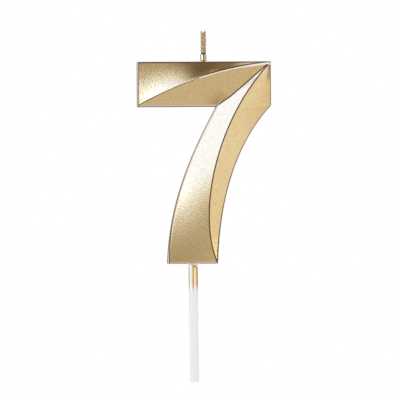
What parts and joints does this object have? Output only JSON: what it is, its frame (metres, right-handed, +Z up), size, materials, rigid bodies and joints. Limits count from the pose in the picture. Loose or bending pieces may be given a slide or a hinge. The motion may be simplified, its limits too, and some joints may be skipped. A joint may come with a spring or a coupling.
{
  "type": "number birthday candle",
  "caption": "Faceted digit 7 candle in metallic gold, with a braided wick on top and a straight plastic pick below to push into a cake.",
  "frame": {"origin": "on the pick's axis, at the top of the shank's straight wall, just below its shoulder", "axes": "+Z up along the pick and the digit's height, +X to the digit's right as it is read, -Y out of the faceted front, +Y out of the flat back"},
  "size_m": [0.0467, 0.011, 0.1215],
  "materials": {
    "wax": "satin",
    "gold_lacquer": "satin",
    "waxed_wick": "satin",
    "wick_yarn": "matte",
    "white_plastic": "satin"
  },
  "bodies": {
    "pick": {"pick": "white_plastic"},
    "digit": {"wax_digit": "wax", "gold_lacquer": "gold_lacquer", "wick_stem": "waxed_wick", "wick_neck": "gold_lacquer"},
    "wick": {"wick_yarn_1": "wick_yarn", "wick_yarn_2": "wick_yarn", "wick_yarn_3": "wick_yarn", "wick_yarn_4": "wick_yarn", "wick_yarn_5": "wick_yarn", "wick_yarn_6": "wick_yarn", "wick_yarn_7": "wick_yarn", "wick_yarn_8": "wick_yarn"}
  },
  "joints": [
    {"name": "digit_lift", "type": "slide", "parent": "pick", "child": "digit", "axis": [0, 0, 1], "range_m": [0, 0.016]},
    {"name": "wick_bend", "type": "hinge", "parent": "digit", "child": "wick", "pos_m": [0.004, 0, 0.0743], "axis": [0, 1, 0], "range_deg": [-60, 60]}
  ]
}
